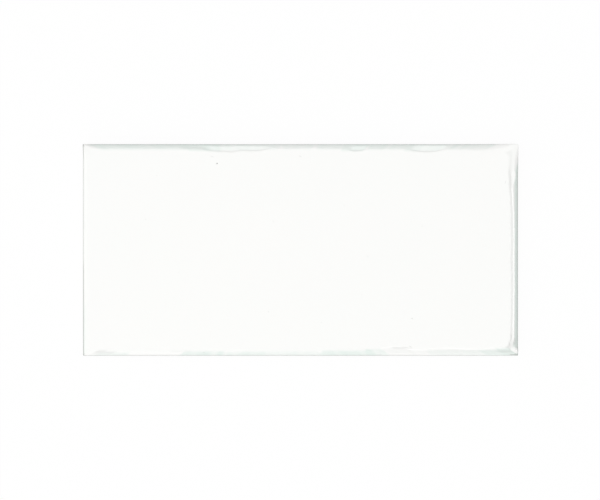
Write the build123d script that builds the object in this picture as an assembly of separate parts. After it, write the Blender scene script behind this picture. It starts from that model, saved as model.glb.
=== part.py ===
from build123d import *
import math
import os

# A dust-pressed ceramic wall tile, glazed, with the soft uneven edge of a hand-made one.
# It lies on its back with the glazed face up. X runs along its length and Y across its width.
# The origin is the middle of the back, and Z = 0 is the plane of the back's ribs.
# Every size is in millimetres.

# Overall size
tile_length = 150.0
tile_width = 73.0
tile_thickness = 8.0

# Sides: a straight band under the glazed edge, then a draft that narrows the tile towards its back
corner_radius = 0.35
band_top = 6.7
band_bottom = 4.3
side_draft = 3.5
back_chamfer = 0.5

# Cushion edge: the width of the roll-off on each side, measured inwards from the outline, and how
# straight its section is, from 0, a quarter of an ellipse, to 1, a plain bevel
roll_off = {"rear": 2.4, "front": 2.1, "left": 1.7, "right": 1.6}
straightness = {"rear": 0.0, "front": 0.0, "left": 0.0, "right": 0.6}
shoulder_corner_radius = 2.6
roll_off_angles = (0, 10, 25, 45, 65, 80, 90)

# Swells of the shoulder line: place along the side from its middle, reach each way, extra width
swells = {
    "rear": ((-27.0, 13.0, 0.9), (19.5, 6.0, 0.5), (43.0, 8.5, 0.8)),
    "front": ((-27.0, 12.0, 0.5), (4.0, 9.0, 0.3), (33.5, 12.0, 1.5), (58.0, 8.0, 0.5)),
    "left": ((-14.0, 9.0, 0.25), (12.0, 10.0, 0.3)),
    "right": ((-12.0, 11.0, -0.15), (22.5, 6.5, 0.3)),
}

# Keyed back: drafted pockets with clipped corners in rows, ribs between them and a rim round all
back_rim = 4.4
rib_width = 1.8
pocket_rows = 6
pockets_per_row = 12
pocket_depth = 0.7
pocket_draft = 25
pocket_corner_clip = 1.3

# How far the draft sets each side in by the back
draft_inset = band_bottom * math.tan(math.radians(side_draft))
back_length = tile_length - 2 * draft_inset
back_width = tile_width - 2 * draft_inset


def inset_share(side, angle):
    """How far in a ring lies on one side, as a share of the roll-off's width."""
    turn = math.radians(angle)
    straight = straightness[side]
    return straight * math.sin(turn) + (1 - straight) * (1 - math.cos(turn))


def shoulder_points(side, angle):
    """The start, top and end of each swell on one side of a ring, as (place along the side,
    inset from the outline)."""
    stations = []
    for place, reach, extra in swells[side]:
        stations += [(place - reach, 0.0), (place, extra), (place + reach, 0.0)]
    share = inset_share(side, angle)
    return [(along, (roll_off[side] + extra) * share) for along, extra in stations]


def ring(angle):
    """One closed level of the cushion edge. At 0 degrees the ring is the tile's straight outline,
    and at 90 degrees it is the wavy shoulder line."""
    height = band_top + (tile_thickness - band_top) * math.sin(math.radians(angle))
    corner_growth = 1 - math.cos(math.radians(angle))
    radius = corner_radius + (shoulder_corner_radius - corner_radius) * corner_growth
    east = tile_length / 2 - roll_off["right"] * inset_share("right", angle)
    west = -tile_length / 2 + roll_off["left"] * inset_share("left", angle)
    north = tile_width / 2 - roll_off["rear"] * inset_share("rear", angle)
    south = -tile_width / 2 + roll_off["front"] * inset_share("front", angle)

    # the four sides in order round the tile, seen from above, each between its corner arcs
    front = [(x, -tile_width / 2 + inset) for x, inset in shoulder_points("front", angle)]
    right = [(tile_length / 2 - inset, y) for y, inset in shoulder_points("right", angle)]
    rear = [(x, tile_width / 2 - inset) for x, inset in shoulder_points("rear", angle)]
    left = [(-tile_length / 2 + inset, y) for y, inset in shoulder_points("left", angle)]
    front = [(west + radius, south), *front, (east - radius, south)]
    right = [(east, south + radius), *right, (east, north - radius)]
    rear = [(east - radius, north), *reversed(rear), (west + radius, north)]
    left = [(west, north - radius), *reversed(left), (west, south + radius)]

    edges = []
    courses = ((front, (1, 0)), (right, (0, 1)), (rear, (-1, 0)), (left, (0, -1)))
    for number, (course, way) in enumerate(courses):
        points = [(x, y, height) for x, y in course]
        following = courses[(number + 1) % len(courses)][0]
        corner_end = (*following[0], height)
        edges.append(Edge.make_spline(points, tangents=[way] * len(points)))
        edges.append(Edge.make_tangent_arc(points[-1], way, corner_end))
    return Wire(edges)


def side_level(height, inset):
    """One closed level of the sides: the tile's outline at a height, set in all round."""
    outline = RectangleRounded(tile_length - 2 * inset, tile_width - 2 * inset, corner_radius)
    return Pos(0, 0, height) * outline


def pressed_body():
    """The tile below its glazed edge: a straight band over a drafted foot with a chamfered back."""
    inset_at_chamfer = draft_inset * (1 - back_chamfer / band_bottom)
    levels = [
        side_level(band_top, 0),
        side_level(band_bottom, 0),
        side_level(back_chamfer, inset_at_chamfer),
        side_level(0, draft_inset + back_chamfer),
    ]
    return loft(levels, ruled=True)


def cushion_edge():
    """The top of the tile, lofted from the straight outline in to the wavy shoulder line."""
    return Solid.make_loft([ring(angle) for angle in roll_off_angles])


def back_pockets():
    """The pockets that key the back to its adhesive, as one pattern of like cutters."""
    field_length = back_length - 2 * back_rim
    field_width = back_width - 2 * back_rim
    pitch_x = (field_length + rib_width) / pockets_per_row
    pitch_y = (field_width + rib_width) / pocket_rows
    mouth = Rectangle(pitch_x - rib_width, pitch_y - rib_width)
    mouth = chamfer(mouth.vertices(), pocket_corner_clip)
    pocket = extrude(mouth, amount=pocket_depth, taper=pocket_draft)
    return GridLocations(pitch_x, pitch_y, pockets_per_row, pocket_rows) * pocket


wall_tile = pressed_body() + cushion_edge() - back_pockets()

os.makedirs("parts", exist_ok=True)
export_step(wall_tile, "parts/wall_tile.step")
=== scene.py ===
import bpy
import math
import numpy as np
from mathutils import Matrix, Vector


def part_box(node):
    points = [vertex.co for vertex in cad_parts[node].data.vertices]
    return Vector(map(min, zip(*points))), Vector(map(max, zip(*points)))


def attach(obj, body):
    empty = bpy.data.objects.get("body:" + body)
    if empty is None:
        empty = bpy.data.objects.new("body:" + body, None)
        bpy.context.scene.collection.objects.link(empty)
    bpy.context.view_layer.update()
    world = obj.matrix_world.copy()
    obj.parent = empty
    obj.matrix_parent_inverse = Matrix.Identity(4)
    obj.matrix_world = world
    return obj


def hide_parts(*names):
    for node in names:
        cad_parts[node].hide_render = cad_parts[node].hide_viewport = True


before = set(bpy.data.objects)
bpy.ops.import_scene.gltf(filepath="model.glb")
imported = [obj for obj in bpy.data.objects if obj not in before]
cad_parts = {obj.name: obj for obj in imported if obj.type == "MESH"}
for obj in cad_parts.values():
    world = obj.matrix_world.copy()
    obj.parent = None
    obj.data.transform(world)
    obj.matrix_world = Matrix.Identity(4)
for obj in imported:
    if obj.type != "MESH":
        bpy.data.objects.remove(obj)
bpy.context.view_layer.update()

# A glazed wall tile lying on its back, seen from straight above. X runs along the tile, Y across it and
# Z out of the glazed face. The tile's own sizes are in millimetres, and its mesh is made in metres.
mm = 0.001
tileLow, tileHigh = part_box("wall_tile")
halfLength = (tileHigh.x - tileLow.x) / 2
halfWidth = (tileHigh.y - tileLow.y) / 2
print("frame loaded")


def node(tree, kind, **values):
    # a new node with each value set on its input of that name, or else on the node itself
    made = tree.nodes.new(kind)
    for name, value in values.items():
        if name in made.inputs:
            made.inputs[name].default_value = value
        else:
            setattr(made, name, value)
    return made


def mixColour(tree, factor, first, second):
    # the first colour turning into the second as the factor rises from 0 to 1
    mix = node(tree, "ShaderNodeMix", data_type="RGBA")
    start, end, mixed = mix.inputs[6], mix.inputs[7], mix.outputs[2]  # the node's colour sockets
    for socket, value in ((mix.inputs["Factor"], factor), (start, first), (end, second)):
        if hasattr(value, "is_linked"):
            tree.links.new(value, socket)
        else:
            socket.default_value = value
    return mixed


def seenBy(tree, *rays):
    # 1 for the named kinds of ray and 0 for the others: the largest of their light path outputs
    path = node(tree, "ShaderNodeLightPath")
    seen = path.outputs[rays[0]]
    for ray in rays[1:]:
        larger = node(tree, "ShaderNodeMath", operation="MAXIMUM")
        tree.links.new(seen, larger.inputs[0])
        tree.links.new(path.outputs[ray], larger.inputs[1])
        seen = larger.outputs[0]
    return seen


# Camera: square on to the face, at the photo's scale
camera = {
    "pictureWidth": 600,
    "pictureHeight": 500,
    "tileLeft": 83,  # pixel columns between which the tile lies in the photo, and the row it starts at
    "tileRight": 518,
    "tileRear": 144.1,
    "lens": 120.0,
    "sensor": 36.0,
    "outlineLevel": 6.7 * mm,  # the height at which the tile is widest
    "nearest": 0.01,  # metres from the camera between which it sees
    "farthest": 50,
}


def buildCamera():
    # The tile's length in pixels gives the size of a pixel. The camera stands as far off as makes the
    # picture fill the sensor, and as far from the tile's middle as the picture's middle is.
    pixel = 2 * halfLength / (camera["tileRight"] - camera["tileLeft"])
    tileMiddle = (camera["tileLeft"] + camera["tileRight"]) / 2
    distance = pixel * camera["pictureWidth"] * camera["lens"] / camera["sensor"]
    data = bpy.data.cameras.new("photoCamera")
    data.lens = camera["lens"]
    data.sensor_width = camera["sensor"]
    data.clip_start = camera["nearest"]
    data.clip_end = camera["farthest"]
    eye = bpy.data.objects.new("photoCamera", data)
    across = (camera["pictureWidth"] / 2 - tileMiddle) * pixel
    up = halfWidth - (camera["pictureHeight"] / 2 - camera["tileRear"]) * pixel
    eye.location = (across, up, camera["outlineLevel"] + distance)
    bpy.context.scene.collection.objects.link(eye)
    bpy.context.scene.camera = eye


buildCamera()
print("camera set")

# Light: a plain white surround and one large soft lamp from the lower left of the picture
light = {
    "surround": 0.552,  # brightness of the surround as it lights the tile
    "seenSurround": 1.0,  # brightness of the surround as it is seen, directly or mirrored in the glaze
    "keyDirection": (-0.40, -0.37, 1.0),
    "keyDistance": 4.0,
    "keySize": 7.5,
    "keyPower": 205.0,
}


def buildLight():
    # the surround's two brightnesses chosen by the kind of ray, and the lamp at its distance along its
    # direction, turned to the origin
    scene = bpy.context.scene
    scene.view_settings.view_transform = "Standard"
    world = bpy.data.worlds.new("whiteSurround")
    scene.world = world
    world.use_nodes = True
    tree = world.node_tree
    tree.nodes.clear()
    level = node(tree, "ShaderNodeMapRange")
    level.inputs["To Min"].default_value = light["surround"]
    level.inputs["To Max"].default_value = light["seenSurround"]
    seen = seenBy(tree, "Is Camera Ray", "Is Glossy Ray", "Is Transmission Ray")
    tree.links.new(seen, level.inputs["Value"])
    background = node(tree, "ShaderNodeBackground")
    tree.links.new(level.outputs["Result"], background.inputs["Strength"])
    output = node(tree, "ShaderNodeOutputWorld")
    tree.links.new(background.outputs[0], output.inputs["Surface"])

    lamp = bpy.data.lights.new("keyLamp", "AREA")
    lamp.energy = light["keyPower"]
    lamp.shape = "SQUARE"
    lamp.size = light["keySize"]
    key = bpy.data.objects.new("keyLamp", lamp)
    direction = np.array(light["keyDirection"])
    place = direction / np.linalg.norm(direction) * light["keyDistance"]
    key.location = place
    key.rotation_euler = (-Vector(place)).to_track_quat("-Z", "Y").to_euler()
    scene.collection.objects.link(key)


buildLight()
print("lights set")

# Floor: a white table top. The camera sees it part lit and part plain white, so it keeps a soft shadow.
floor = {
    "size": 8.0,
    "below": 0.05 * mm,
    "colour": (0.97, 0.97, 0.97, 1),
    "plainWhite": 0.96,  # share of plain white in what the camera sees
}


def buildFloor():
    # one square just under the tile, its lit and its plain white surface mixed by the kind of ray
    half = floor["size"] / 2
    level = tileLow.z - floor["below"]
    data = bpy.data.meshes.new("floor")
    corners = [(-half, -half, level), (half, -half, level), (half, half, level), (-half, half, level)]
    data.from_pydata(corners, [], [(0, 1, 2, 3)])
    plane = bpy.data.objects.new("floor", data)
    bpy.context.scene.collection.objects.link(plane)
    material = bpy.data.materials.new("whiteTable")
    material.use_nodes = True
    tree = material.node_tree
    tree.nodes.clear()
    diffuse = node(tree, "ShaderNodeBsdfDiffuse", Color=floor["colour"])
    white = node(tree, "ShaderNodeEmission")
    share = node(tree, "ShaderNodeMath", operation="MULTIPLY")
    share.inputs[1].default_value = floor["plainWhite"]
    tree.links.new(seenBy(tree, "Is Camera Ray", "Is Glossy Ray"), share.inputs[0])
    mix = node(tree, "ShaderNodeMixShader")
    tree.links.new(share.outputs[0], mix.inputs["Fac"])
    tree.links.new(diffuse.outputs[0], mix.inputs[1])
    tree.links.new(white.outputs[0], mix.inputs[2])
    output = node(tree, "ShaderNodeOutputMaterial")
    tree.links.new(mix.outputs[0], output.inputs["Surface"])
    data.materials.append(material)


buildFloor()
print("floor laid")

# The tile's pressed form, in millimetres and degrees, as in the CAD
form = {
    "cornerRadius": 0.35,
    "shoulderCornerRadius": 2.6,
    "bandTop": 6.7,
    "bandBottom": 4.3,
    "sideDraft": 3.5,
    "backChamfer": 0.5,
    "backRim": 4.4,
    "ribWidth": 1.8,
    "pocketRows": 6,
    "pocketsPerRow": 12,
    "pocketDepth": 0.7,
    "pocketDraft": 25.0,
    "pocketCornerClip": 1.3,
}

# How the edges of the back are rounded off more softly than in the CAD, in millimetres
softening = {
    "chamferRings": ((0.3, 0.14), (0.12, 0.3), (0.0, 0.55)),  # height of each and inset beyond the foot
    "clipShare": 0.46,  # 0.5 makes a pocket's clipped corner straight, and less makes it bulge a little
    "floorClip": 0.8,  # the clip at the floor's rim as a share of the mouth's, shrinking to the middle
    # The rings of a pocket from its floor up to the rib: fillet, wall and rounded mouth. Each has the
    # share of the wall's slope and of its depth that it lies at, and what is added to its inset and depth.
    "pocketRings": (
        (1.0, 1.0, 0.16, 0.0),
        (1.0, 0.94, 0.02, 0.0),
        (0.75, 0.76, 0.0, 0.0),
        (0.3, 0.3, 0.0, 0.0),
        (0.0, 0.0, 0.0, 0.05),
        (0.0, 0.0, -0.14, 0.0),
    ),
}

# How finely the surface is cut up
mesh = {
    "stepsPerPocket": 20,
    "cornerSteps": 6,  # steps of each half corner
    "faceInset": 4.7,  # from the outline in to the flat field, in millimetres
    "cornerLead": 3.0,
    "rimRings": 6,
    "outerRings": 12,
    "terraceRings": 5,
    "stepRings": 7,
    "bandRings": 4,
    "footRings": 8,
    "backRings": 3,
}

# Glaze relief that is too fine for the CAD, in millimetres. A terrace is a stretch of the edge where the
# glaze has slumped: a lip near the outline, a shallow dip and a step up to the face. A place is measured
# along its side from the middle, positive to the right or the rear.
relief = {
    # width of the roll-off from the outline in to the face, with any slumped shelf
    "rollOff": {"front": 2.1, "right": 2.9, "rear": 2.4, "left": 1.7},
    # place, reach each way, extra width of the roll-off
    "swells": {
        "front": ((-27.0, 12.0, 0.5), (4.0, 9.0, 0.3), (35.0, 9.0, 1.5), (54.0, 14.0, 0.92),
                  (67.0, 8.0, 0.35), (72.6, 7.0, 0.95)),
        "right": ((-34.3, 2.4, -0.35), (-22.0, 8.0, -0.24), (-12.0, 11.0, -0.2), (4.0, 8.0, -0.2),
                  (15.0, 5.0, -0.2), (24.5, 5.0, 0.42), (30.5, 5.0, 0.5)),
        "rear": ((-28.0, 9.0, 0.5), (-24.0, 3.5, 0.4), (-16.5, 5.0, 0.3), (-9.5, 5.0, -0.35),
                 (4.0, 9.0, -0.45), (20.5, 5.0, 0.3), (46.5, 8.0, 0.65), (70.0, 14.0, 0.8)),
        "left": ((-14.0, 9.0, 0.25), (12.0, 10.0, 0.3)),
    },
    # where the glaze stands full to the outline: place, reach each way, share of the drop taken away
    "full": {"rear": ((75.0, 13.0, 0.95), (-75.0, 3.4, 0.7))},
    # start, end and ramp of each, and the places of its lip and step as shares of the roll-off's width.
    # Where two overlap, the later one sets the places.
    "terraces": {
        "rear": ((-30.5, -14.5, 5.5, 0.36, 0.74), (19.3, 22.6, 1.7, 0.34, 0.73),
                 (42.0, 50.0, 3.0, 0.25, 0.76)),
        "right": ((-36.5, 23.5, 2.5, 0.54, 0.66), (-14.0, 11.0, 4.0, 0.48, 0.6),
                  (16.0, 23.5, 2.5, 0.61, 0.72), (25.5, 27.3, 1.6, 0.3, 0.76),
                  (28.8, 34.0, 1.6, 0.39, 0.76), (-36.5, -34.5, 2.5, 0.66, 0.84)),
        "front": ((31.0, 39.5, 3.0, 0.31, 0.8), (43.0, 75.0, 4.0, 0.32, 0.8)),
    },
    "lipPlace": 0.36,  # places of the lip and the step where no terrace sets them
    "stepPlace": 0.8,
    # how far the lip and the dip lie below the face
    "lipDrop": {"front": 0.08, "right": 0.06, "rear": 0.18, "left": 0.1},
    "dipDrop": {"front": 0.16, "right": 0.18, "rear": 0.19, "left": 0.1},
    "dipNearStep": {"front": 4.0, "right": 1.0, "rear": 1.0, "left": 1.0},  # 1 is an even fall to the dip
    "bevel": {"front": 0.1, "right": 0.5, "rear": 0.1, "left": 0.1},  # 0 is round and 1 is straight
    # low blisters of glaze on the roll-off: place, half sizes along X and Y, height of the top
    "blisters": ((73.4, 26.0, 0.75, 1.2, 7.92), (73.7, -34.3, 1.3, 0.75, 7.9),
                 (74.4, -35.05, 0.8, 0.62, 7.75)),
    "blisterRim": 1.25,  # where a blister ends, and over how much it fades, in its half sizes
    "blisterFade": 0.5,
    # where the glaze has pooled and looks green, darkened also as painted shade in the edge's dips and
    # creases: start, end, ramp and strength of each, and how far in it reaches
    "poolsAndShade": {
        "rear": ((-71.5, -35.0, 3.0, 0.6, 2.5), (-39.5, -29.0, 4.0, 0.74, 3.0),
                 (-33.0, -14.0, 4.0, 0.42, 2.8), (-14.0, -8.0, 3.0, 0.42, 2.4),
                 (-5.0, 4.0, 3.0, 0.32, 2.4), (7.0, 16.0, 3.0, 0.42, 2.4),
                 (15.8, 23.0, 2.2, 0.66, 3.0), (25.0, 38.0, 2.0, 0.55, 2.5),
                 (39.0, 50.0, 3.0, 0.5, 3.0), (51.0, 66.0, 4.0, 0.4, 2.4)),
        "right": ((-36.0, 28.0, 4.0, 0.95, 1.65), (-36.5, -34.5, 2.0, 1.0, 2.2)),
        "front": ((-70.5, -61.0, 3.0, 0.5, 1.8), (-41.0, -27.0, 2.0, 0.84, 2.15),
                  (-27.0, -20.5, 2.0, 0.55, 1.9), (-20.5, -12.5, 2.0, 0.75, 2.1),
                  (-12.0, 6.0, 4.0, 0.47, 2.2), (9.0, 26.0, 4.0, 0.93, 2.4),
                  (25.0, 29.5, 2.5, 0.6, 3.0), (47.0, 66.0, 4.0, 0.34, 2.6),
                  (67.0, 72.0, 6.0, 0.8, 2.7), (71.5, 75.0, 2.5, 1.0, 3.2)),
        "left": ((-36.0, 36.0, 4.0, 0.1, 1.2), (-36.5, -22.0, 8.0, 0.4, 1.6)),
    },
    "poolAndShadeWander": 0.18,  # how much the strength of the pools and their painted shade wanders along the edge
    # over how many millimetres the pooled glaze and its painted shade fade at the inner end of its reach
    "poolAndShadeFade": {"front": 1.2, "right": 0.8, "rear": 1.2, "left": 1.2},
    # share of pooled glaze with painted shade added right by the outline, or taken away where it is below
    # 0
    "edgePoolAndShade": {"front": -0.1, "right": 0.4, "rear": 0.4, "left": 0.4},
    "edgePoolAndShadeReach": 1.0,
    # grey lines of painted shade where slumped glaze steps and along the outline: start, end, ramp,
    # distance from the outline, fade each way across and strength
    "shadeLines": {
        "front": ((-72.6, -70.6, 1.4, 1.45, 0.9, 0.3), (-72.3, -67.0, 2.5, 1.1, 0.9, 0.26),
                  (-45.0, -40.5, 3.0, 1.4, 0.9, 0.1), (34.5, 41.0, 1.5, 2.8, 0.5, 0.28),
                  (54.0, 68.0, 5.0, 1.75, 0.5, 0.1), (71.5, 74.8, 3.4, 1.5, 0.9, 0.3),
                  (73.3, 75.0, 1.0, 0.45, 0.42, 0.75)),
        "right": ((-36.5, -36.0, 0.6, 2.8, 0.7, 0.3), (-36.3, -33.2, 1.5, 2.35, 0.6, 0.22),
                  (-36.1, -35.7, 0.6, 1.85, 0.55, 0.42), (-35.0, -34.1, 0.6, 1.65, 0.5, 0.55),
                  (-33.5, -32.5, 1.0, 1.2, 0.6, 0.4), (25.0, 36.5, 3.0, 2.6, 1.2, 0.12),
                  (27.3, 30.0, 3.2, 3.1, 1.5, 0.14)),
        "rear": ((-41.0, -34.0, 3.0, 1.5, 0.8, 0.14),),
        "left": ((-36.5, -8.0, 10.0, 0.0, 0.7, 0.96), (34.0, 36.5, 4.0, 0.0, 0.65, 1.0)),
    },
    # painted shade: grey by the outline, how far in it reaches, and grey over the whole roll-off
    "edgeShadeAt": {"front": 0.95, "right": 0.58, "rear": 0.36, "left": 0.9},
    "edgeShadeReach": {"front": 0.31, "right": 0.7, "rear": 0.45, "left": 0.45},
    "rollOffShadeAt": {"front": 0.1, "right": 0.04, "rear": 0.0, "left": 0.08},
    "rollOffShadeReach": 1.1,  # where that ends, in widths of the roll-off
    "waveLengths": (62, 47, 38, 29, 23, 17, 13),  # of the waves in the face
    "faceWave": 0.02,  # half the height that a wave of the full length would have, shorter ones less
    "fullWaveLength": 220,
    # height of the line where the glaze ends on the sides, how far it wanders and frays, its lowest
    # place and its least distance under the top of the straight band
    "glazeLine": 4.6,
    "glazeLineWander": 0.3,
    "glazeLineFray": 0.07,
    "glazeLineLowest": 1.4,
    "glazeLineBelowBand": 0.9,
    # short runs that hang from it: their number, least and greatest reach each way, a length, the least
    # and greatest share of that length, and what is added to the seed
    "runs": 11,
    "runReach": (1.6, 4.5),
    "runLength": 1.1,
    "runShares": (0.4, 1.3),
    "runSeed": 2,
    "glazeStep": 0.1,  # how far the glaze stands out from the clay below it
    "beadHeight": 0.35,  # over the glaze line
    # the bead's rings: height over the glaze line, share of the glaze's step, grey of painted shade
    "beadRings": ((0.16, 0.0, 0.3), (0.05, 0.3, 0.4), (0.0, 0.7, 0.6), (-0.03, 1.0, 0.6)),
    # green pooled glaze on the bead, darkened as painted shade
    "beadPoolAndShade": 0.7,
    "bandPoolAndShade": 0.6,  # how green the straight band is, with painted shade, as a share of the edge above it
    "bandShadeReach": 0.8,  # how far down the band the grey of painted shade reaches
    "hazeReach": 0.9,  # how far below the glaze line its haze reaches on the clay
    "grit": 0.03,  # how rough the bare foot is
    "chamferGrit": 0.4,  # share of that on the chamfer
    "seed": 416,
}

# Waves round the outline: what is added to the seed, the fewest turns and the number they stay under
waves = {
    "glazeLine": (1, 5, 60),
    "poolsAndShade": (3, 20, 160),
    "grit": (4, 60, 330),
    "fray": (5, 60, 300),
}

# Pinholes in the face: place from the middle, width in millimetres and strength
pinholes = (
    (-28.7, 29.8, 0.5, 1.0),
    (38.4, -23.6, 0.5, 0.4),
    (-49.5, 25.7, 0.4, 0.12),
    (-53.3, 10.5, 0.4, 0.2),
    (-9.3, 9.8, 0.4, 0.25),
    (15.0, 15.4, 0.4, 0.12),
    (41.9, 8.2, 0.4, 0.18),
    (23.1, -2.3, 0.42, 0.32),
    (-11.0, -21.3, 0.45, 0.2),
    (7.1, -25.0, 0.4, 0.14),
    (-41.9, -7.7, 0.36, 0.12),
    (20.9, -15.3, 0.4, 0.1),
)

# The rings of a pinhole's crater: radii in half widths of the pinhole, shares of its depth and darkness
crater = {
    "radii": (0.0, 0.55, 1.0, 2.6),
    "depths": (1.0, 0.6, 0.0, 0.0),
    "marks": (1.0, 1.0, 0.0, 0.0),
    "depth": 0.25,  # in widths of the pinhole, at full strength
}

# Specks on the edge and the flat rim inside it: place from the middle and strength
specks = (
    (-30.2, 32.2, 0.2),
    (0.0, 32.3, 0.16),
    (-33.1, -35.3, 0.35),
    (27.6, -36.0, 0.45),
    (69.8, 23.3, 0.3),
    (37.9, -33.4, 0.3),
)

sides = ("front", "right", "rear", "left")
longSteps = form["pocketsPerRow"] * mesh["stepsPerPocket"]
shortSteps = form["pocketRows"] * mesh["stepsPerPocket"]
sideSteps = {"front": longSteps, "right": shortSteps, "rear": longSteps, "left": shortSteps}
along = {"front": (1, 0), "right": (0, 1), "rear": (-1, 0), "left": (0, -1)}
outward = {"front": (0, -1), "right": (1, 0), "rear": (0, 1), "left": (-1, 0)}
halfX = halfLength / mm
halfY = halfWidth / mm
tileTop = tileHigh.z / mm


def smooth(x):
    # the smoothstep: three x squared less two x cubed, held between 0 and 1
    x = np.clip(x, 0, 1)
    return x * x * (3 - 2 * x)


def roundedPath(west, east, south, north, radius):
    # Counter-clockwise round a rectangle with round corners. Each side runs from the middle of one
    # corner's arc to the middle of the next, with the same number of steps whatever the radius.
    points = []
    normals = []
    bends = mesh["cornerSteps"]
    for side in sides:
        steps = sideSteps[side]
        t = np.array(along[side], float)
        n = np.array(outward[side], float)
        middle = np.array([(west + east) / 2, (south + north) / 2])
        half = np.array([(east - west) / 2, (north - south) / 2])
        reach = abs(t) @ half
        stand = abs(n) @ half
        index = np.arange(steps)
        turn = np.interp(index, [0, bends, steps - bends, steps], [-math.pi / 4, 0, 0, math.pi / 4])
        centre = np.interp(index, [bends, steps - bends], [-(reach - radius), reach - radius])
        alongPart = centre + radius * np.sin(turn)
        outPart = stand - radius + radius * np.cos(turn)
        points.append(middle + np.outer(alongPart, t) + np.outer(outPart, n))
        normals.append(np.outer(np.sin(turn), t) + np.outer(np.cos(turn), n))
    return np.vstack(points), np.vstack(normals)


def leadSteps(reach, steps, lead):
    # places along one side of a plain rectangle: short steps by each corner and even ones between
    bends = mesh["cornerSteps"]
    places = [-reach, -reach + lead, reach - lead, reach]
    return np.interp(np.arange(steps + 1), [0, bends, steps - bends, steps], places)


def gridBorder(xs, ys):
    # the border of the grid of those lines, counter-clockwise from its first corner
    front = np.column_stack([xs[:-1], np.full(len(xs) - 1, ys[0])])
    right = np.column_stack([np.full(len(ys) - 1, xs[-1]), ys[:-1]])
    rear = np.column_stack([xs[:0:-1], np.full(len(xs) - 1, ys[-1])])
    left = np.column_stack([np.full(len(ys) - 1, xs[0]), ys[:0:-1]])
    return np.vstack([front, right, rear, left])


def borderOrder(columns, rows):
    # the numbers of a grid's border vertices, in gridBorder's order, for rows of columns + 1 vertices
    numbers = np.arange((columns + 1) * (rows + 1)).reshape(rows + 1, columns + 1)
    return np.concatenate([numbers[0, :-1], numbers[:-1, -1], numbers[-1, :0:-1], numbers[:0:-1, 0]])


def bySide(values, normals):
    # one value for each side, blended round the corners by the squares of the normal's two parts
    x = np.where(normals[:, 0] > 0, values["right"], values["left"])
    y = np.where(normals[:, 1] > 0, values["rear"], values["front"])
    return x * normals[:, 0] ** 2 + y * normals[:, 1] ** 2


outline, outlineNormals = roundedPath(-halfX, halfX, -halfY, halfY, form["cornerRadius"])
sideOf = np.concatenate([np.full(sideSteps[side], number) for number, side in enumerate(sides)])
stepLengths = np.linalg.norm(np.roll(outline, -1, axis=0) - outline, axis=1)
aroundTotal = stepLengths.sum()
around = np.concatenate([[0], np.cumsum(stepLengths)[:-1]])


def setInward(inset):
    # the outline moved in, with its corner radius kept: the arcs' centres draw towards the middle
    radius = form["cornerRadius"]
    centres = outline - outlineNormals * radius
    reach = np.array([halfX - radius, halfY - radius])
    inset = np.broadcast_to(inset, len(outline))[:, None]
    return centres * (1 - inset / reach) + outlineNormals * radius


def aroundPlace(side, place):
    # how far round the outline a place on one side lies
    number = sides.index(side)
    on = sideOf == number
    line = outline[on] @ np.abs(np.array(along[side], float))
    order = np.argsort(line)
    return np.interp(place, line[order], around[on][order])


def offFrom(place):
    # how far each point of the outline is from a place round it, by the shorter way
    return np.abs((around - place + aroundTotal / 2) % aroundTotal - aroundTotal / 2)


def bump(side, place, reach):
    # 1 at the place, falling to 0 at the reach each way, by the smoothstep
    return smooth(1 - offFrom(aroundPlace(side, place)) / reach)


def stretch(side, start, end, ramp):
    # 1 between start and end, with a smooth ramp outside each
    first, last = sorted((aroundPlace(side, start), aroundPlace(side, end)))
    return smooth(1 - (offFrom((first + last) / 2) - (last - first) / 2) / ramp)


def wander(name):
    # a smooth wave that closes on itself round the outline: cosines of whole numbers of turns, with
    # weights and phases drawn from the seed, scaled to swing by about one
    added, fewest, most = waves[name]
    draw = np.random.default_rng(relief["seed"] + added)
    turns = np.arange(fewest, most)
    weights = draw.normal(size=len(turns)) / math.sqrt(len(turns))
    phases = draw.uniform(0, 2 * math.pi, len(turns))
    angle = 2 * math.pi * np.outer(around / aroundTotal, turns) + phases
    return np.cos(angle) @ weights


def faceLevel(points):
    # height of the glazed face in millimetres: a few long crossing waves, at most the tile's top. Each
    # is a cosine less 1, along a heading drawn from the seed, and as high as its length allows.
    draw = np.random.default_rng(relief["seed"])
    level = np.zeros(points.shape[:-1])
    for length in relief["waveLengths"]:
        heading = draw.uniform(0, 2 * math.pi)
        phase = draw.uniform(0, 2 * math.pi)
        run = points[..., 0] * math.cos(heading) + points[..., 1] * math.sin(heading)
        wave = np.cos(2 * math.pi * run / length + phase) - 1
        level += wave * relief["faceWave"] * length / relief["fullWaveLength"]
    return tileTop + level


def fullness():
    # how far the glaze stands full to the outline: the share of the drop at the edge that it takes away
    full = np.zeros(len(around))
    for side, rows in relief["full"].items():
        for place, reach, share in rows:
            full = np.maximum(full, share * bump(side, place, reach))
    return full


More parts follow.
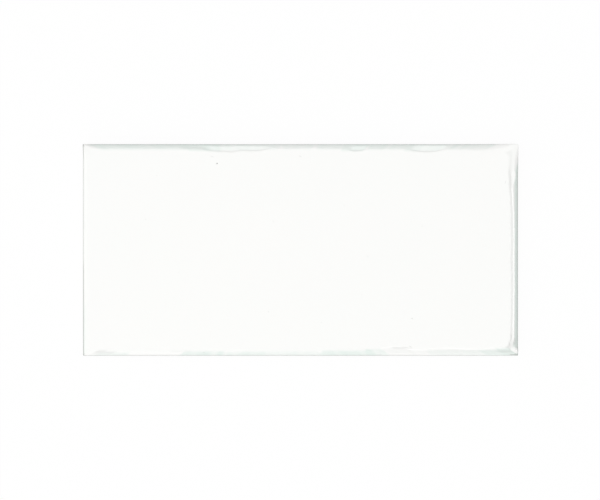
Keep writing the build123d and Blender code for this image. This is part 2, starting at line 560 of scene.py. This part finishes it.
def edgeProfile():
    # The roll-off as two arrays, one row for each place round the outline and one column for each ring
    # from the outline in: the share of its width, and the drop below the face. The plain form is a
    # quarter of an ellipse. The terraced form has a lip, a dip and a step. Each place blends the two.
    rings = mesh["outerRings"] + mesh["terraceRings"] + mesh["stepRings"]
    edgeDrop = tileTop - form["bandTop"]
    angle = np.linspace(0, math.pi / 2, rings + 1)
    plainShare = 1 - np.cos(angle)
    plainDrop = edgeDrop * (1 - np.sin(angle))

    def column(name):
        return bySide(relief[name], outlineNormals)[:, None]

    weight = np.zeros((len(around), 1))
    lip = np.full(weight.shape, relief["lipPlace"])
    step = np.full(weight.shape, relief["stepPlace"])
    for side, rows in relief["terraces"].items():
        for start, end, ramp, lipPlace, stepPlace in rows:
            part = stretch(side, start, end, ramp)[:, None]
            weight = np.maximum(weight, part)
            lip += (lipPlace - lip) * part
            step += (stepPlace - step) * part
    lipDrop, dipDrop, bevel = column("lipDrop"), column("dipDrop"), column("bevel")
    part = np.linspace(0, 1, mesh["outerRings"] + 1)[None, :]
    inward = (1 - bevel) * (1 - np.cos(part * math.pi / 2)) + bevel * part
    upward = (1 - bevel) * np.sin(part * math.pi / 2) + bevel * part
    outer = lip * inward
    outerDrop = edgeDrop - (edgeDrop - lipDrop) * upward
    part = np.linspace(0, 1, mesh["terraceRings"] + 1)[None, 1:]
    terrace = lip + (step - lip) * part
    terraceDrop = lipDrop + (dipDrop - lipDrop) * smooth(part) ** column("dipNearStep")
    part = np.linspace(0, 1, mesh["stepRings"] + 1)[None, 1:]
    rise = step + (1 - step) * part
    riseDrop = dipDrop * (1 - smooth(part))
    terracedShare = np.hstack([outer, terrace, rise])
    terracedDrop = np.hstack([outerDrop, terraceDrop, riseDrop])

    share = plainShare * (1 - weight) + terracedShare * weight
    drop = plainDrop * (1 - weight) + terracedDrop * weight
    return share, drop * (1 - fullness()[:, None])


def shoulderLine():
    # the inner end of the roll-off: the outline set in by each side's width, and its swells
    roll = relief["rollOff"]
    bounds = (-halfX + roll["left"], halfX - roll["right"], -halfY + roll["front"], halfY - roll["rear"])
    line, normals = roundedPath(*bounds, form["shoulderCornerRadius"])
    swell = np.zeros(len(line))
    for side, rows in relief["swells"].items():
        for place, reach, extra in rows:
            swell += extra * bump(side, place, reach)
    return line - normals * swell[:, None], bySide(roll, normals) + swell


def ownSide(side):
    # 1 along one side as far as the middle of its corners, falling to 0 by the ends of their arcs
    return np.minimum(1, 2 * bySide({name: float(name == side) for name in sides}, outlineNormals))


def poolAndShadeAlong():
    # how green the pooled glaze is, darkened also as painted shade, at each place round the outline, and
    # how far in it reaches
    pooledAndShaded = np.zeros(len(around))
    reach = np.zeros(len(around))
    for side, rows in relief["poolsAndShade"].items():
        for start, end, ramp, strength, inward in rows:
            part = stretch(side, start, end, ramp) * ownSide(side)
            pooledAndShaded = np.maximum(pooledAndShaded, strength * part)
            reach = np.maximum(reach, inward * part)
    return pooledAndShaded * (1 + relief["poolAndShadeWander"] * wander("poolsAndShade")), reach


def shadeLineMask(distance):
    # grey lines of painted shade that follow the outline at a set distance from it, fading each way across
    mask = np.zeros(len(around))
    for side, rows in relief["shadeLines"].items():
        for start, end, ramp, place, fade, strength in rows:
            line = smooth(1 - np.abs(distance - place) / fade)
            mask = np.maximum(mask, strength * line * stretch(side, start, end, ramp) * ownSide(side))
    return mask


def addBlisters(flat, level):
    # raises the level to each blister's flat top, fading out at its rim, and gives a mask of the blisters
    mask = np.zeros(len(flat))
    for x, y, halfAcross, halfUp, top in relief["blisters"]:
        distance = np.hypot((flat[:, 0] - x) / halfAcross, (flat[:, 1] - y) / halfUp)
        part = smooth((relief["blisterRim"] - distance) / relief["blisterFade"])
        level = level + np.maximum(top - level, 0) * part
        mask = np.maximum(mask, part)
    return level, mask


def glazeLine():
    # height at which the glaze ends on the sides: a wandering line with short runs hanging from it
    line = relief["glazeLine"] + relief["glazeLineWander"] * wander("glazeLine")
    line += relief["glazeLineFray"] * wander("fray")
    draw = np.random.default_rng(relief["seed"] + relief["runSeed"])
    for _ in range(relief["runs"]):
        place = draw.uniform(0, aroundTotal)
        reach = draw.uniform(*relief["runReach"])
        length = relief["runLength"] * draw.uniform(*relief["runShares"])
        line -= length * smooth(1 - offFrom(place) / reach)
    return np.clip(line, relief["glazeLineLowest"], form["bandTop"] - relief["glazeLineBelowBand"])


def faceGrid(xs, ys):
    # The flat field on a grid of lines, with a small crater drawn into it at each pinhole: the grid's
    # square rings round the nearest vertex become circles, the inner ones sunk below the face.
    x, y = np.meshgrid(xs, ys)
    points = np.stack([x, y], axis=-1)
    sunk = np.zeros(x.shape)
    mark = np.zeros(x.shape)
    radii, depths, marks = (np.array(crater[name]) for name in ("radii", "depths", "marks"))
    reach = len(radii) - 1
    across, up = np.meshgrid(np.arange(-reach, reach + 1), np.arange(-reach, reach + 1))
    ring = np.maximum(abs(across), abs(up))
    length = np.hypot(across, up)
    length[reach, reach] = 1  # the middle has no direction, and its radius is 0
    for px, py, width, strength in pinholes:
        column = int(np.abs(xs - px).argmin())
        row = int(np.abs(ys - py).argmin())
        rows = slice(row - reach, row + reach + 1)
        columns = slice(column - reach, column + reach + 1)
        radius = radii[ring] * width / 2
        points[rows, columns, 0] = px + radius * across / length
        points[rows, columns, 1] = py + radius * up / length
        sunk[rows, columns] = depths[ring] * strength * width * crater["depth"]
        mark[rows, columns] = marks[ring] * strength
    height = faceLevel(points) - sunk
    return np.dstack([points, height]).reshape(-1, 3), mark.ravel()


def speckMarks(points):
    # the strength of each speck, at the vertex of the glazed edge that lies nearest to it from above
    mark = np.zeros(len(points))
    hidden = np.where(points[:, 2] > form["bandTop"], 0, np.inf)
    for x, y, strength in specks:
        mark[(np.hypot(points[:, 0] - x, points[:, 1] - y) + hidden).argmin()] = strength
    return mark


def pocketReach(pitch, floorShare, inset):
    # half the size of a pocket along one axis at each of its rings: even shares of the floor, then the
    # mouth's half size less each inset, then the middle of the rib
    mouth = (pitch - form["ribWidth"]) / 2
    return np.concatenate([(mouth - inset[0]) * floorShare, mouth - inset, [pitch / 2]])


def pocketGrid(pitchX, pitchY):
    # The keyed back, one square block of the grid for each pocket. The square rings of a block become
    # the pocket's outline at its depths, a rectangle with clipped corners, from the floor out to the rib.
    half = mesh["stepsPerPocket"] // 2
    slopeShare, depthShare, addedInset, addedDepth = np.array(softening["pocketRings"]).T
    depth = form["pocketDepth"]
    slope = math.tan(math.radians(form["pocketDraft"]))
    inset = depth * slope * slopeShare + addedInset
    floorRings = half - len(inset)
    floorShare = np.arange(floorRings) / floorRings
    ringX = pocketReach(pitchX, floorShare, inset)
    ringY = pocketReach(pitchY, floorShare, inset)
    heights = np.concatenate([np.full(floorRings, depth), depth * depthShare + addedDepth, [0]])
    # with the walls and the clip moved in alike, the clip shrinks by the inset times 2 less the root of 2
    mouthClip = form["pocketCornerClip"]
    wallClip = mouthClip - (2 - math.sqrt(2)) * inset
    clip = np.concatenate([mouthClip * floorShare * softening["floorClip"], wallClip, [0]])

    columns = np.arange(longSteps + 1)
    rows = np.arange(shortSteps + 1)
    cellX = np.minimum(columns // mesh["stepsPerPocket"], form["pocketsPerRow"] - 1)
    cellY = np.minimum(rows // mesh["stepsPerPocket"], form["pocketRows"] - 1)
    a, b = np.meshgrid(columns - cellX * 2 * half - half, rows - cellY * 2 * half - half)
    ring = np.maximum(abs(a), abs(b))
    scale = np.maximum(ring, 1)
    x = ringX[ring] * a / scale
    y = ringY[ring] * b / scale
    excess = np.maximum(abs(x) + abs(y) - (ringX[ring] + ringY[ring] - clip[ring]), 0)
    excess *= softening["clipShare"]
    x -= np.sign(x) * excess
    y -= np.sign(y) * excess
    centreX = (cellX - (form["pocketsPerRow"] - 1) / 2) * pitchX
    centreY = (cellY - (form["pocketRows"] - 1) / 2) * pitchY
    x += centreX[None, :]
    y += centreY[:, None]
    return np.dstack([x, y, heights[ring]]).reshape(-1, 3)


def addRing(rings, flat, level, poolAndShade=0.0, shadeAndHaze=0.0):
    # one closed ring of the surface, with at each of its points the green of pooled glaze, partly darkened
    # as painted shade, and a mask that is painted grey shade on the glaze and the haze of glaze on the
    # bare clay
    count = len(flat)
    rings.append({
        "points": np.column_stack([flat, np.broadcast_to(level, count)]),
        "poolAndShade": np.broadcast_to(poolAndShade, count),
        "shadeAndHaze": np.broadcast_to(shadeAndHaze, count),
    })


def addRollOff(rings, faceBorder, pooledAndShaded, reach, edgeShadeAt):
    # From the face grid out over a flat rim to the shoulder line, then down the roll-off to the outline.
    # Pooled glaze and its painted shade fade at the inner end of its reach, and the painted grey shade
    # fades inwards from the outline.
    shoulder, width = shoulderLine()
    for step in range(1, mesh["rimRings"]):
        flat = faceBorder + (shoulder - faceBorder) * step / mesh["rimRings"]
        addRing(rings, flat, faceLevel(flat))
    share, drop = edgeProfile()
    names = ("rollOffShadeAt", "edgeShadeReach", "edgePoolAndShade", "poolAndShadeFade")
    rollOffShadeAt, edgeShadeReach, edgePoolAndShade, poolAndShadeFade = (bySide(relief[name], outlineNormals) for name in names)
    for ring in range(share.shape[1] - 1, -1, -1):
        across = share[:, ring]
        distance = across * width
        flat = outline + (shoulder - outline) * across[:, None]
        level, blister = addBlisters(flat, faceLevel(flat) - drop[:, ring])
        # green pooled glaze, darkened also as painted shade, fading at the inner end of its reach
        poolAndShade = smooth((reach - distance) / poolAndShadeFade) * pooledAndShaded
        poolAndShade = poolAndShade * (1 + edgePoolAndShade * smooth(1 - distance / relief["edgePoolAndShadeReach"]))
        # painted shade: grey over the whole roll-off
        rollOffShade = smooth(relief["rollOffShadeReach"] - across) * rollOffShadeAt
        shadeAndHaze = np.maximum(smooth(1 - distance / edgeShadeReach) * edgeShadeAt, rollOffShade)
        # painted shade lines
        shadeAndHaze = np.maximum(shadeAndHaze, shadeLineMask(distance))
        addRing(rings, flat, level, poolAndShade * (1 - blister), shadeAndHaze * (1 - blister))


def addGlazedBand(rings, line, pooledAndShaded, edgeShadeAt):
    # down the side from the outline, and round the bead that the glaze ends in
    top = rings[-1]["points"][:, 2]
    bead = line + relief["beadHeight"]
    for step in range(1, mesh["bandRings"] + 1):
        level = top + (bead - top) * step / mesh["bandRings"]
        # painted grey shade, fading down the band from the outline
        shadeAndHaze = smooth(1 - (top - level) / relief["bandShadeReach"]) * edgeShadeAt
        addRing(rings, outline, level, relief["bandPoolAndShade"] * pooledAndShaded, shadeAndHaze)
    # the bead's painted grey shade, with its green pooled glaze darkened as painted shade
    for above, back, shadeAndHaze in relief["beadRings"]:
        addRing(rings, setInward(relief["glazeStep"] * back), line + above, relief["beadPoolAndShade"], shadeAndHaze)


def addBareFoot(rings, line):
    # The bare foot, set in by its draft from the bead's last ring down, with a haze of glaze below the
    # line and every other ring slightly gritty. Then the chamfer.
    draft = math.tan(math.radians(form["sideDraft"]))
    back = relief["glazeStep"]
    grit = relief["grit"] * wander("grit")
    start = line + relief["beadRings"][-1][0]
    for number in range(1, mesh["footRings"] + 1):
        level = start + (form["backChamfer"] - start) * number / mesh["footRings"]
        setIn = back + draft * np.maximum(form["bandBottom"] - level, 0) * (1 - back) + grit * (number % 2)
        haze = smooth(1 - (line - level) / relief["hazeReach"])
        # on the bare foot this mask carries the haze of glaze, the clay's own colour, and no painted shade
        addRing(rings, setInward(setIn), level, 0.0, haze)
    footIn = draft * form["bandBottom"] + back / 2
    for height, setIn in softening["chamferRings"]:
        addRing(rings, setInward(footIn + setIn + relief["chamferGrit"] * grit), height)


def backGrid():
    # the pockets' grid, spaced to fill the back inside its rim
    backIn = form["bandBottom"] * math.tan(math.radians(form["sideDraft"])) + form["backRim"]
    pitchX = (2 * (halfX - backIn) + form["ribWidth"]) / form["pocketsPerRow"]
    pitchY = (2 * (halfY - backIn) + form["ribWidth"]) / form["pocketRows"]
    return pocketGrid(pitchX, pitchY)


def gridFaces(columns, rows):
    # the squares of a grid whose rows hold columns + 1 vertices, counter-clockwise
    numbers = np.arange((columns + 1) * (rows + 1)).reshape(rows + 1, columns + 1)
    corners = [numbers[:-1, :-1], numbers[:-1, 1:], numbers[1:, 1:], numbers[1:, :-1]]
    return np.stack(corners, axis=-1).reshape(-1, 4)


def joinFaces(ringCount, faceCount):
    # The squares of the face grid, of the strips between rings and of the back grid, in that order.
    # The two grids share their border vertices with the first and last strips.
    count = len(around)
    order = borderOrder(longSteps, shortSteps)
    backStart = faceCount + ringCount * count
    rows = [faceCount + number * count + np.arange(count) for number in range(ringCount)]
    rows = [order, *rows, backStart + order]
    strips = []
    for upper, lower in zip(rows[:-1], rows[1:]):
        strips.append(np.stack([upper, lower, np.roll(lower, -1), np.roll(upper, -1)], axis=-1))
    grid = gridFaces(longSteps, shortSteps)
    return [grid, *strips, grid[:, ::-1] + backStart]


def makeMesh(points, faces, slots, masks):
    # a smooth mesh of four-sided faces in metres, with a material slot for each face and each mask as
    # an attribute of the points
    data = bpy.data.meshes.new("glazedTile")
    data.vertices.add(len(points))
    data.vertices.foreach_set("co", (points * mm).ravel())
    data.loops.add(faces.size)
    data.loops.foreach_set("vertex_index", faces.ravel())
    data.polygons.add(len(faces))
    data.polygons.foreach_set("loop_start", np.arange(0, faces.size, 4))
    data.polygons.foreach_set("loop_total", np.full(len(faces), 4))
    data.update(calc_edges=True)
    data.validate()
    data.polygons.foreach_set("use_smooth", np.ones(len(faces), bool))
    data.polygons.foreach_set("material_index", slots)
    for name, values in masks.items():
        attribute = data.attributes.new(name, "FLOAT", "POINT")
        attribute.data.foreach_set("value", values.astype(np.float32))
    return data


def buildTile():
    # one closed surface: the face grid, rings from its border over the edge and down the sides to the
    # back, and the grid of the keyed back
    inset = mesh["faceInset"]
    faceX = leadSteps(halfX - inset, longSteps, mesh["cornerLead"])
    faceY = leadSteps(halfY - inset, shortSteps, mesh["cornerLead"])
    facePoints, faceMark = faceGrid(faceX, faceY)
    backPoints = backGrid()

    pooledAndShaded, reach = poolAndShadeAlong()
    # painted grey shade by the outline, less where the glaze stands full
    edgeShadeAt = bySide(relief["edgeShadeAt"], outlineNormals) * (1 - fullness())
    line = glazeLine()
    rings = []
    addRollOff(rings, gridBorder(faceX, faceY), pooledAndShaded, reach, edgeShadeAt)
    addGlazedBand(rings, line, pooledAndShaded, edgeShadeAt)
    glazedRings = len(rings)
    addBareFoot(rings, line)
    lastRing = rings[-1]["points"]
    backBorder = backPoints[borderOrder(longSteps, shortSteps)]
    for step in range(1, mesh["backRings"]):
        ring = lastRing + (backBorder - lastRing) * step / mesh["backRings"]
        addRing(rings, ring[:, :2], ring[:, 2])

    parts = joinFaces(len(rings), len(facePoints))
    slots = [np.full(len(part), number > glazedRings) for number, part in enumerate(parts)]
    ringPoints = np.vstack([ring["points"] for ring in rings])
    plain = np.zeros(len(facePoints))
    bare = np.zeros(len(backPoints))
    masks = {
        # the first mask is green pooled glaze partly darkened as painted shade; the second is painted grey
        # shade on the glaze and the haze of glaze on the bare clay
        "greenPoolAndShade": np.concatenate([plain, *[ring["poolAndShade"] for ring in rings], bare]),
        "edgeShadeAndHaze": np.concatenate([plain, *[ring["shadeAndHaze"] for ring in rings], bare]),
        "pinhole": np.concatenate([faceMark, speckMarks(ringPoints), bare]),
    }
    points = np.vstack([facePoints, ringPoints, backPoints])
    data = makeMesh(points, np.vstack(parts), np.concatenate(slots).astype(int), masks)
    tile = bpy.data.objects.new("glazed_tile", data)
    bpy.context.scene.collection.objects.link(tile)
    print("tile mesh:", len(points), "vertices,", 2 * len(data.polygons), "triangles")
    return tile


# Finishes. Scales are per metre, so 500 gives marks about 2 mm across.
glaze = {
    "white": (0.957, 0.959, 0.942, 1),
    "cool": (0.945, 0.953, 0.937, 1),
    # green of pooled glaze, darkened to paint the shade in the edge's dips and creases
    "pooledAndShaded": (0.785, 0.865, 0.822, 1),
    # grey painted as shade along the outline, in the shade lines and on the bead
    "shadeAndHaze": (0.42, 0.43, 0.41, 1),
    "pinhole": (0.33, 0.34, 0.32, 1),
    "ior": 1.52,
    "clouds": {"Scale": 45.0, "Detail": 2.0, "Low": 0.0, "High": 0.35},  # share of the cool white
    "gloss": {"Scale": 90.0, "Detail": 3.0, "Low": 0.045, "High": 0.08},  # roughness
    "pinholeRoughness": 0.45,
    "ripple": {"Scale": 380.0, "Detail": 1.0, "Low": 0.0, "High": 1.0},
    "pricks": {"Scale": 240.0, "Size": 0.05, "Share": 0.12},
    "rippleDepth": 0.004 * mm,
}
biscuit = {
    "cream": (0.77, 0.69, 0.585, 1),
    "pale": (0.86, 0.80, 0.72, 1),
    "dusty": (0.66, 0.58, 0.49, 1),
    "iron": (0.34, 0.23, 0.16, 1),
    "rubbed": (0.90, 0.865, 0.80, 1),
    "haze": (0.90, 0.895, 0.87, 1),
    "grain": {"Scale": 1300.0, "Detail": 4.0, "Low": 0.0, "High": 1.0},
    "grainDepth": 0.08 * mm,
    "dust": {"Scale": 70.0, "Detail": 5.0, "Low": 0.0, "High": 0.6},
    "ironSpecks": {"Scale": 300.0, "Size": 0.1, "Share": 0.25},
    "wear": {"Scale": 110.0, "Detail": 4.0, "Low": 0.0, "High": 0.85},
    "ribHeight": 0.2 * mm,  # the marks of rubbing fade out above this
    "roughness": (0.7, 0.92),  # in the haze and where bare
}
noiseRange = (0.3, 0.7)  # the noise values that mottling spreads over its whole range


def effectGroup(name, inputs, output):
    # a node group with those number inputs and one number output, and the sockets that its pattern
    # joins: what is asked for, what is given back and the tile's own coordinates
    group = bpy.data.node_groups.new(name, "ShaderNodeTree")
    for socket in inputs:
        group.interface.new_socket(socket, in_out="INPUT", socket_type="NodeSocketFloat")
    group.interface.new_socket(output, in_out="OUTPUT", socket_type="NodeSocketFloat")
    asked = node(group, "NodeGroupInput")
    given = node(group, "NodeGroupOutput")
    place = node(group, "ShaderNodeTexCoord")
    return group, asked.outputs, given.inputs[output], place.outputs["Object"]


def mottleGroup():
    # cloudy variation in the tile's own space: layered noise, spread between two ends
    group, asked, given, place = effectGroup("mottle", ("Scale", "Detail", "Low", "High"), "Value")
    noise = node(group, "ShaderNodeTexNoise")
    spread = node(group, "ShaderNodeMapRange")
    spread.inputs["From Min"].default_value, spread.inputs["From Max"].default_value = noiseRange
    group.links.new(place, noise.inputs["Vector"])
    group.links.new(asked["Scale"], noise.inputs["Scale"])
    group.links.new(asked["Detail"], noise.inputs["Detail"])
    group.links.new(noise.outputs["Fac"], spread.inputs["Value"])
    group.links.new(asked["Low"], spread.inputs["To Min"])
    group.links.new(asked["High"], spread.inputs["To Max"])
    group.links.new(spread.outputs["Result"], given)
    return group


def speckleGroup():
    # scattered round dots in the tile's own space. Each cell of a Voronoi pattern holds a dot of the
    # given size where its random value is below the share, with a soft rim.
    group, asked, given, place = effectGroup("speckle", ("Scale", "Size", "Share"), "Mask")
    cells = node(group, "ShaderNodeTexVoronoi")
    parts = node(group, "ShaderNodeSeparateColor")
    dot = node(group, "ShaderNodeMapRange", interpolation_type="SMOOTHSTEP")
    dot.inputs["To Min"].default_value = 1.0
    dot.inputs["To Max"].default_value = 0.0
    chosen = node(group, "ShaderNodeMath", operation="LESS_THAN")
    both = node(group, "ShaderNodeMath", operation="MULTIPLY")
    group.links.new(place, cells.inputs["Vector"])
    group.links.new(asked["Scale"], cells.inputs["Scale"])
    group.links.new(cells.outputs["Color"], parts.inputs["Color"])
    group.links.new(cells.outputs["Distance"], dot.inputs["Value"])
    group.links.new(asked["Size"], dot.inputs["From Max"])
    group.links.new(parts.outputs["Red"], chosen.inputs[0])
    group.links.new(asked["Share"], chosen.inputs[1])
    group.links.new(dot.outputs["Result"], both.inputs[0])
    group.links.new(chosen.outputs[0], both.inputs[1])
    group.links.new(both.outputs[0], given)
    return group


def newMaterial(name):
    # a new material, with its node tree and its Principled BSDF
    material = bpy.data.materials.new(name)
    material.use_nodes = True
    tree = material.node_tree
    return material, tree, tree.nodes["Principled BSDF"]


def effect(tree, group, values):
    # what a node group gives with those values on its inputs
    return node(tree, "ShaderNodeGroup", node_tree=group, **values).outputs[0]


def maskNamed(tree, name):
    # the mesh's attribute of that name
    return node(tree, "ShaderNodeAttribute", attribute_name=name).outputs["Fac"]


def addBump(tree, shader, height, distance):
    # tilts the shader's normals as if the surface rose by the distance where the height is 1
    bumped = node(tree, "ShaderNodeBump", Distance=distance)
    tree.links.new(height, bumped.inputs["Height"])
    tree.links.new(bumped.outputs["Normal"], shader.inputs["Normal"])


def glazeMaterial(mottle, speckle):
    # clear white gloss, faintly clouded, green where it has pooled, darkened there as painted shade, and
    # grey where shade is painted along the edge
    material, tree, shader = newMaterial("whiteGlaze")
    shader.inputs["IOR"].default_value = glaze["ior"]
    clouds = effect(tree, mottle, glaze["clouds"])
    pinhole = maskNamed(tree, "pinhole")
    colour = mixColour(tree, clouds, glaze["white"], glaze["cool"])
    # green pooled glaze, darkened also as painted shade
    colour = mixColour(tree, maskNamed(tree, "greenPoolAndShade"), colour, glaze["pooledAndShaded"])
    # painted grey shade along the edge
    colour = mixColour(tree, maskNamed(tree, "edgeShadeAndHaze"), colour, glaze["shadeAndHaze"])
    colour = mixColour(tree, pinhole, colour, glaze["pinhole"])
    tree.links.new(colour, shader.inputs["Base Color"])

    dull = node(tree, "ShaderNodeMapRange")
    dull.inputs["To Max"].default_value = glaze["pinholeRoughness"]
    tree.links.new(pinhole, dull.inputs["Value"])
    tree.links.new(effect(tree, mottle, glaze["gloss"]), dull.inputs["To Min"])
    tree.links.new(dull.outputs["Result"], shader.inputs["Roughness"])

    height = node(tree, "ShaderNodeMath", operation="SUBTRACT")
    tree.links.new(effect(tree, mottle, glaze["ripple"]), height.inputs[0])
    tree.links.new(effect(tree, speckle, glaze["pricks"]), height.inputs[1])
    addBump(tree, shader, height.outputs[0], glaze["rippleDepth"])
    return material


def biscuitMaterial(mottle, speckle):
    # bare fired clay: fine grain, iron specks, dust, ribs rubbed pale, and a haze by the glaze line
    material, tree, shader = newMaterial("creamBiscuit")
    grain = effect(tree, mottle, biscuit["grain"])
    dust = effect(tree, mottle, biscuit["dust"])
    iron = effect(tree, speckle, biscuit["ironSpecks"])
    wear = effect(tree, mottle, biscuit["wear"])
    haze = maskNamed(tree, "edgeShadeAndHaze")
    place = node(tree, "ShaderNodeTexCoord")
    parts = node(tree, "ShaderNodeSeparateXYZ")
    rubbed = node(tree, "ShaderNodeMapRange")
    rubbed.inputs["From Max"].default_value = biscuit["ribHeight"]
    rubbed.inputs["To Max"].default_value = 0.0
    tree.links.new(place.outputs["Object"], parts.inputs["Vector"])
    tree.links.new(parts.outputs["Z"], rubbed.inputs["Value"])
    tree.links.new(wear, rubbed.inputs["To Min"])
    colour = mixColour(tree, grain, biscuit["cream"], biscuit["pale"])
    colour = mixColour(tree, dust, colour, biscuit["dusty"])
    colour = mixColour(tree, rubbed.outputs["Result"], colour, biscuit["rubbed"])
    colour = mixColour(tree, iron, colour, biscuit["iron"])
    colour = mixColour(tree, haze, colour, biscuit["haze"])
    tree.links.new(colour, shader.inputs["Base Color"])

    hazeRoughness, bareRoughness = biscuit["roughness"]
    matt = node(tree, "ShaderNodeMapRange")
    matt.inputs["To Min"].default_value = bareRoughness
    matt.inputs["To Max"].default_value = hazeRoughness
    tree.links.new(haze, matt.inputs["Value"])
    tree.links.new(matt.outputs["Result"], shader.inputs["Roughness"])
    addBump(tree, shader, grain, biscuit["grainDepth"])
    return material


mottle = mottleGroup()
speckle = speckleGroup()
glazedTile = buildTile()
glazedTile.data.materials.append(glazeMaterial(mottle, speckle))
glazedTile.data.materials.append(biscuitMaterial(mottle, speckle))
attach(glazedTile, "root")
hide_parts("wall_tile")
print("tile finished")
